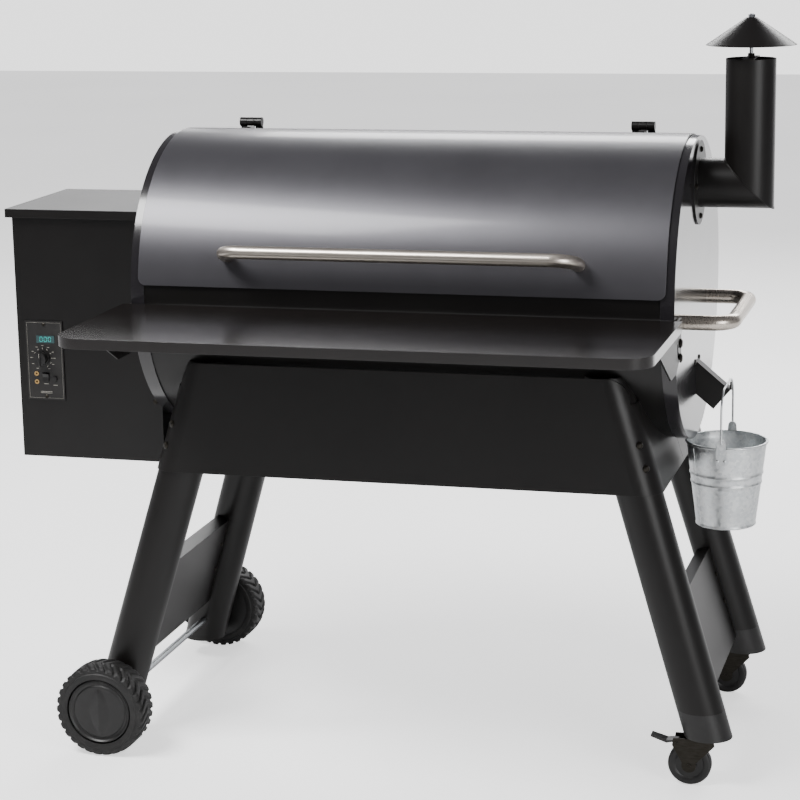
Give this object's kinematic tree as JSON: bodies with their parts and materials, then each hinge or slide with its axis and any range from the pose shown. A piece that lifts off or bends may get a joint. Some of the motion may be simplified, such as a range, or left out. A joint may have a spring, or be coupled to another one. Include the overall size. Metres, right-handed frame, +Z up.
{
  "type": "pellet smoker grill",
  "caption": "Barrel pellet smoker grill with hinged lid, side pellet hopper and controller, chimney, grease bucket, folding front shelf, splayed legs, two wheels and two casters.",
  "frame": {"origin": "middle of the bounding box's footprint, on the floor the wheels stand on", "axes": "+X runs along the barrel from the pellet hopper to the chimney, +Y from the front shelf to the back, +Z up"},
  "size_m": [1.3494, 0.901, 1.245],
  "materials": {
    "powder_coat": "satin",
    "lid_coat": "semi-gloss",
    "stainless": "brushed",
    "grate_enamel": "gloss",
    "bare_steel": "mill",
    "zinc_steel": "zinc",
    "black_plastic": "satin",
    "caster_rubber": "matte",
    "jack_nickel": "polished",
    "display_glass": "polished"
  },
  "bodies": {
    "frame": {"barrel_shell": "powder_coat", "end_cap_left": "powder_coat", "end_cap_right": "powder_coat", "hinge_leaves": "powder_coat", "grill_grates": "grate_enamel", "upper_rack": "grate_enamel", "drip_tray": "bare_steel", "heat_baffle": "bare_steel", "firepot": "bare_steel", "auger_tube": "bare_steel", "auger_motor": "black_plastic", "igniter_rod": "zinc_steel", "temperature_probe": "zinc_steel", "hopper_casing": "powder_coat", "hopper_bin": "bare_steel", "pellet_guard": "zinc_steel", "fan_housing": "black_plastic", "power_inlet": "black_plastic", "controller_plate": "black_plastic", "display_window": "display_glass", "probe_jacks": "jack_nickel", "chimney_pipe": "powder_coat", "side_handle": "stainless", "grease_chute": "powder_coat", "shelf_pivots": "zinc_steel", "leg_front_left": "powder_coat", "leg_rear_left": "powder_coat", "leg_front_right": "powder_coat", "leg_rear_right": "powder_coat", "cross_panels": "powder_coat", "leg_end_caps": "black_plastic", "wheel_axle": "zinc_steel", "rear_apron": "powder_coat", "front_apron": "powder_coat", "frame_bolts": "zinc_steel"},
    "lid": {"lid_shell": "lid_coat", "lid_handle": "stainless", "lid_hinge_arms": "powder_coat"},
    "pellet_lid": {"hopper_lid": "powder_coat"},
    "shelf": {"shelf_top": "powder_coat", "shelf_brackets": "powder_coat"},
    "wheel_front": {"wheel_tyre_front": "black_plastic", "wheel_hub_front": "black_plastic"},
    "swivel_front": {"caster_fork_front": "zinc_steel"},
    "roller_front": {"caster_wheel_front": "caster_rubber"},
    "brake_front": {"caster_pedal_front": "black_plastic"},
    "wheel_rear": {"wheel_tyre_rear": "black_plastic", "wheel_hub_rear": "black_plastic"},
    "swivel_rear": {"caster_fork_rear": "zinc_steel"},
    "roller_rear": {"caster_wheel_rear": "caster_rubber"},
    "brake_rear": {"caster_pedal_rear": "black_plastic"},
    "bail": {"bucket_bail": "zinc_steel"},
    "bucket": {"grease_bucket": "zinc_steel"},
    "dial": {"temperature_dial": "black_plastic"},
    "rocker": {"power_rocker": "black_plastic"},
    "button": {"feed_button": "black_plastic"},
    "smoke_rod": {"cap_rod": "zinc_steel"},
    "smoke_cap": {"chimney_cap": "powder_coat"},
    "auger": {"auger_screw": "bare_steel"},
    "fan": {"fan_impeller": "black_plastic"}
  },
  "joints": [
    {"name": "lid_open", "type": "hinge", "parent": "frame", "child": "lid", "pos_m": [0.05925, 0.19749, 1.05202], "axis": [-1, 0, 0], "range_deg": [0, 112]},
    {"name": "pellet_lid_open", "type": "hinge", "parent": "frame", "child": "pellet_lid", "pos_m": [-0.53225, 0.24949, 0.913], "axis": [-1, 0, 0], "range_deg": [0, 100]},
    {"name": "shelf_fold", "type": "hinge", "parent": "frame", "child": "shelf", "pos_m": [0.05925, -0.11251, 0.74], "axis": [1, 0, 0], "range_deg": [0, 85]},
    {"name": "wheel_front_roll", "type": "hinge", "parent": "frame", "child": "wheel_front", "pos_m": [-0.45885, -0.18952, 0.08], "axis": [0, 1, 0], "continuous": true},
    {"name": "caster_front_swivel", "type": "hinge", "parent": "frame", "child": "swivel_front", "pos_m": [0.57555, -0.11523, 0.082], "axis": [0, 0, 1], "continuous": true},
    {"name": "caster_front_roll", "type": "hinge", "parent": "swivel_front", "child": "roller_front", "pos_m": [0.54555, -0.11523, 0.036], "axis": [0, 1, 0], "continuous": true},
    {"name": "caster_front_brake", "type": "hinge", "parent": "swivel_front", "child": "brake_front", "pos_m": [0.52555, -0.11523, 0.074], "axis": [0, -1, 0], "range_deg": [0, 12]},
    {"name": "wheel_rear_roll", "type": "hinge", "parent": "frame", "child": "wheel_rear", "pos_m": [-0.45885, 0.42051, 0.08], "axis": [0, 1, 0], "continuous": true},
    {"name": "caster_rear_swivel", "type": "hinge", "parent": "frame", "child": "swivel_rear", "pos_m": [0.57555, 0.34622, 0.082], "axis": [0, 0, 1], "continuous": true},
    {"name": "caster_rear_roll", "type": "hinge", "parent": "swivel_rear", "child": "roller_rear", "pos_m": [0.54555, 0.34622, 0.036], "axis": [0, 1, 0], "continuous": true},
    {"name": "caster_rear_brake", "type": "hinge", "parent": "swivel_rear", "child": "brake_rear", "pos_m": [0.52555, 0.34622, 0.074], "axis": [0, -1, 0], "range_deg": [0, 12]},
    {"name": "bail_swing", "type": "hinge", "parent": "frame", "child": "bail", "pos_m": [0.56925, 0.11549, 0.62777], "axis": [0, -1, 0], "range_deg": [-1, 30]},
    {"name": "bucket_swing", "type": "hinge", "parent": "bail", "child": "bucket", "pos_m": [0.56925, 0.11549, 0.53997], "axis": [0, -1, 0], "range_deg": [-2, 40]},
    {"name": "dial_turn", "type": "hinge", "parent": "frame", "child": "dial", "pos_m": [-0.61925, -0.01801, 0.655], "axis": [0, -1, 0], "range_deg": [-300, 0]},
    {"name": "rocker_tip", "type": "hinge", "parent": "frame", "child": "rocker", "pos_m": [-0.61475, -0.01601, 0.621], "axis": [-1, 0, 0], "range_deg": [0, 16]},
    {"name": "button_press", "type": "slide", "parent": "frame", "child": "button", "axis": [0, 1, 0], "range_m": [0, 0.002], "stiffness_N_per_m": 400},
    {"name": "cap_lift", "type": "slide", "parent": "frame", "child": "smoke_rod", "axis": [0, 0, 1], "range_m": [0, 0.012]},
    {"name": "cap_turn", "type": "hinge", "parent": "smoke_rod", "child": "smoke_cap", "pos_m": [0.60075, 0.11549, 1.195], "axis": [0, 0, 1], "range_deg": [0, 4320]},
    {"name": "auger_turn", "type": "hinge", "parent": "frame", "child": "auger", "pos_m": [-0.58075, 0.11549, 0.59], "axis": [1, 0, 0], "continuous": true},
    {"name": "fan_spin", "type": "hinge", "parent": "frame", "child": "fan", "pos_m": [-0.53875, 0.11549, 0.516], "axis": [1, 0, 0], "continuous": true}
  ],
  "couplings": [
    {"joint": "cap_lift", "follows": "cap_turn", "m_per_rad": 0.00015915}
  ]
}
